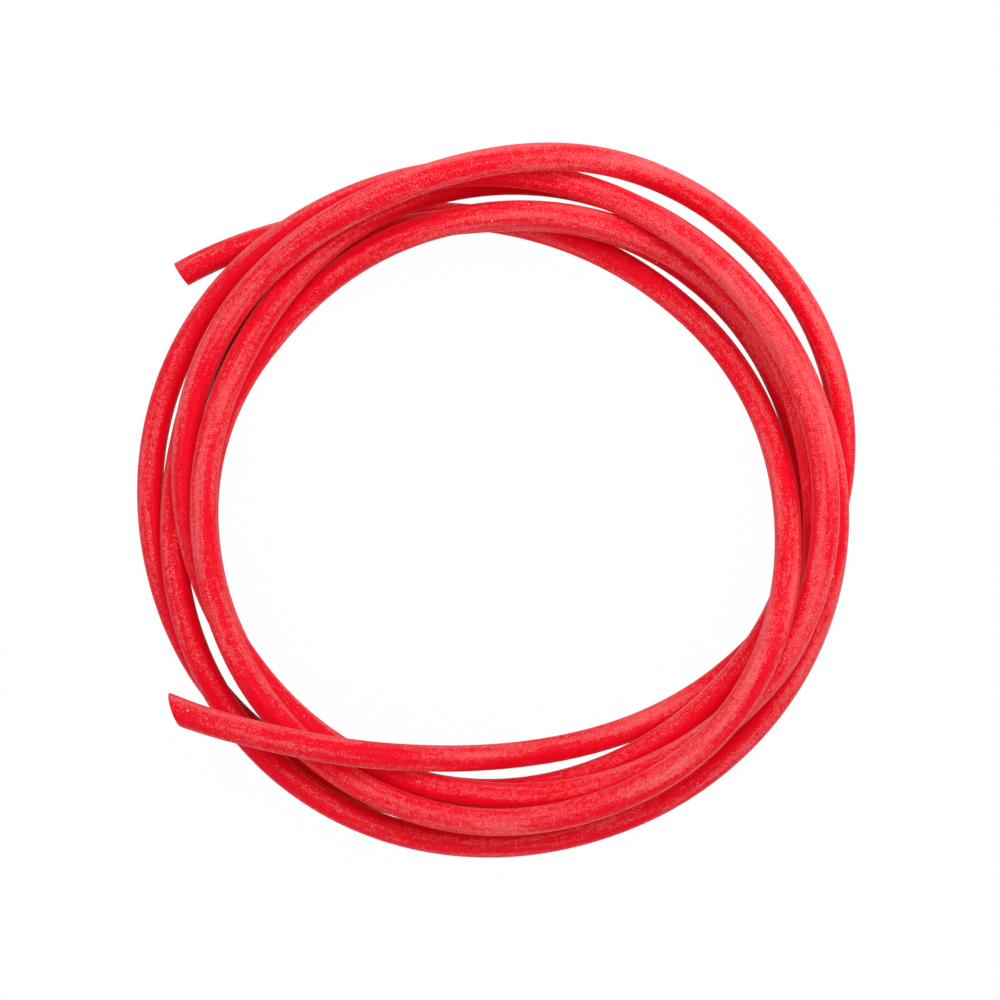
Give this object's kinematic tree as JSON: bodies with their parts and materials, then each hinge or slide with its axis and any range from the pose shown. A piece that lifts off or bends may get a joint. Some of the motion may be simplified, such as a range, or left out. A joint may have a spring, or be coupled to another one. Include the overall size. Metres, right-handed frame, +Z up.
{
  "type": "rubber vacuum tubing",
  "caption": "Length of thick-walled rubber vacuum tubing, wound loosely by hand into a flat coil, with plain cut ends.",
  "frame": {"origin": "under the middle of the coil's outline, on the surface that the coil lies on", "axes": "+Z up from that surface, +X to the right and +Y to the back as seen from above with both cut ends on the left"},
  "size_m": [0.3323, 0.3242, 0.0592],
  "materials": {
    "rubber": "matt, lightly dusted with talc"
  },
  "bodies": {
    "root": {"tubing": "rubber"}
  },
  "joints": []
}
